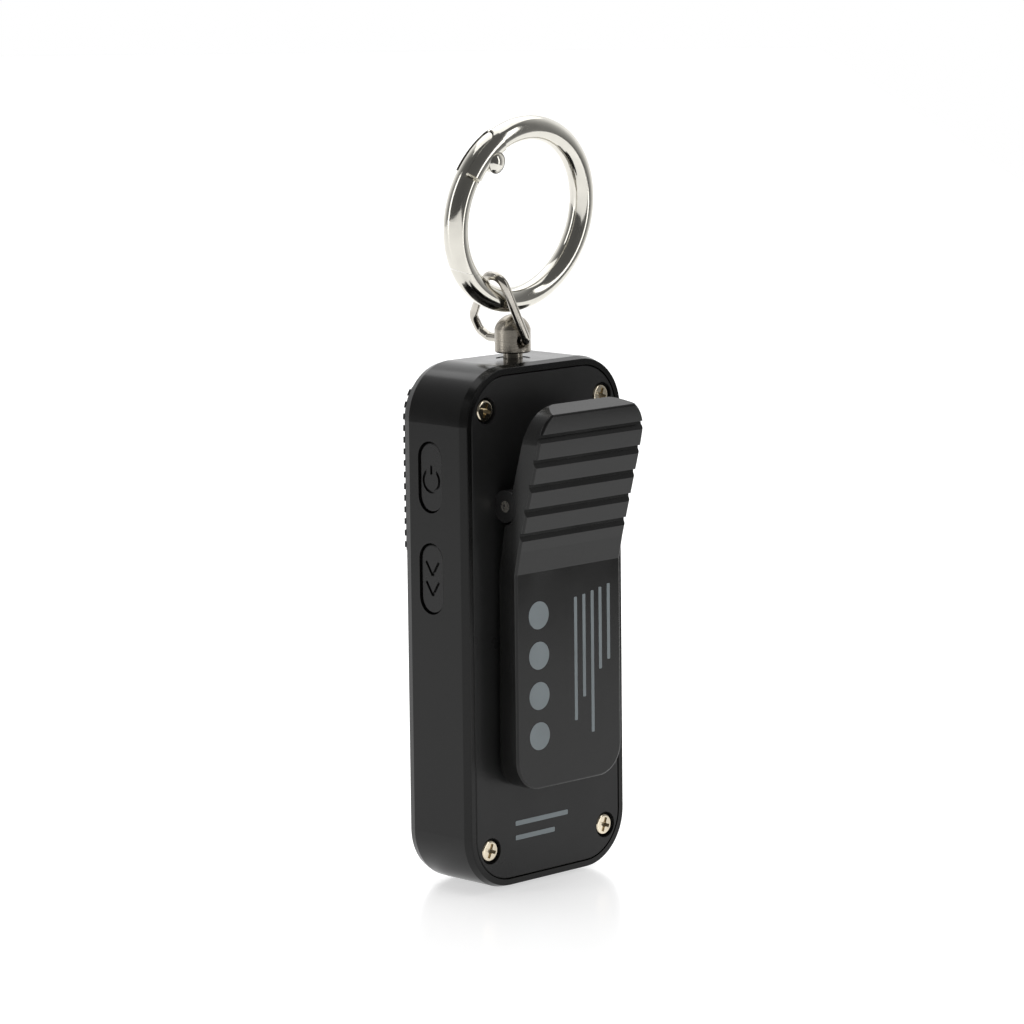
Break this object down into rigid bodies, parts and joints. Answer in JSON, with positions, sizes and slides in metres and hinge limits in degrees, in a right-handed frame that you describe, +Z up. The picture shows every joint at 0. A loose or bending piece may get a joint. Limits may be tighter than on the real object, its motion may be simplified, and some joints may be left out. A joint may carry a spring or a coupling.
{
  "type": "keychain flashlight",
  "caption": "Flat pocket lamp with two side keys, a sprung belt clip and a swivel link on a gated key ring.",
  "frame": {"origin": "inside top of the key ring, where the object hangs", "axes": "+Z up along the lamp, +Y towards the clip, +X towards the side keys"},
  "size_m": [0.0315, 0.024, 0.1098],
  "materials": {
    "body_black": "fine matte moulded black plastic",
    "cover_black": "fine matte moulded black plastic, slightly darker",
    "clip_black": "fine matte moulded black plastic",
    "bezel_black": "matte black plastic with ribs",
    "key_black": "matte black elastomer",
    "clear_lens": "clear moulded lens",
    "reflector_white": "bright white moulded plastic",
    "board_metal": "white-coated aluminium board",
    "chip_yellow": "phosphor-coated chips",
    "board_green": "green solder mask",
    "part_black": "black moulded component bodies",
    "battery_silver": "silver pouch",
    "foam_grey": "closed-cell foam",
    "lead_red": "insulated lead",
    "gasket_black": "soft black seal",
    "jaw_grip": "soft black grip strip",
    "switch_steel": "switch body",
    "usb_steel": "drawn socket shell",
    "tongue_black": "black moulded contact tongue",
    "screw_nickel": "warm nickel plating",
    "swivel_nickel": "turned nickel-plated brass",
    "wire_nickel": "nickel-plated wire",
    "ring_nickel": "polished nickel plating",
    "spring_steel": "spring wire",
    "bushing_brass": "turned brass",
    "pin_steel": "plain steel pin"
  },
  "bodies": {
    "ring": {"ring_body": "ring_nickel", "gate_rivet": "ring_nickel", "gate_spring": "spring_steel"},
    "gate": {"ring_gate": "ring_nickel"},
    "link": {"wire_link": "wire_nickel"},
    "swivel": {"swivel_head": "swivel_nickel", "retaining_ring": "spring_steel"},
    "clip": {"clip_lever": "clip_black", "clip_pad": "jaw_grip"},
    "power_button": {"power_key": "key_black", "power_plunger": "tongue_black"},
    "mode_button": {"mode_key": "key_black", "mode_plunger": "tongue_black"},
    "lamp": {"housing": "body_black", "rear_cover": "cover_black", "cover_screws": "screw_nickel", "cover_gasket": "gasket_black", "front_bezel": "bezel_black", "lens": "clear_lens", "reflector": "reflector_white", "led_board": "board_metal", "led_chips": "chip_yellow", "main_board": "board_green", "board_parts": "part_black", "battery": "battery_silver", "battery_foam": "foam_grey", "battery_leads": "lead_red", "usb_shell": "usb_steel", "usb_tongue": "tongue_black", "power_switch": "switch_steel", "mode_switch": "switch_steel", "swivel_bushing": "bushing_brass", "thrust_washer": "pin_steel", "clip_pin": "pin_steel", "clip_spring": "spring_steel"}
  },
  "joints": [
    {"name": "gate_hinge", "type": "hinge", "parent": "ring", "child": "gate", "pos_m": [0.0071, -0.00038, -0.00254], "axis": [0, 0.989, -0.1478], "range_deg": [0, 30], "stiffness_Nm_per_rad": 0.04, "springref_deg": -17.19, "deforming": ["gate_spring"]},
    {"name": "link_swing", "type": "hinge", "parent": "ring", "child": "link", "pos_m": [0.00247, -0.00337, -0.02255], "axis": [0.98, 0.0294, 0.1968], "range_deg": [-50, 50]},
    {"name": "head_tilt", "type": "hinge", "parent": "link", "child": "swivel", "pos_m": [-0.0009, -0.00412, -0.02868], "axis": [0.1132, 0.9936, 0], "range_deg": [-35, 35]},
    {"name": "lamp_spin", "type": "hinge", "parent": "swivel", "child": "lamp", "pos_m": [-0.0009, -0.00412, -0.03128], "axis": [0, 0, 1], "continuous": true},
    {"name": "clip_hinge", "type": "hinge", "parent": "lamp", "child": "clip", "pos_m": [-0.0009, 0.00408, -0.05078], "axis": [1, 0, 0], "range_deg": [0, 22], "stiffness_Nm_per_rad": 0.3, "springref_deg": -22.92, "deforming": ["clip_spring"]},
    {"name": "power_press", "type": "slide", "parent": "lamp", "child": "power_button", "axis": [-1, 0, 0], "range_m": [0, 0.00035], "stiffness_N_per_m": 4000, "springref_m": -0.0002},
    {"name": "mode_press", "type": "slide", "parent": "lamp", "child": "mode_button", "axis": [-1, 0, 0], "range_m": [0, 0.00035], "stiffness_N_per_m": 4000, "springref_m": -0.0002}
  ]
}
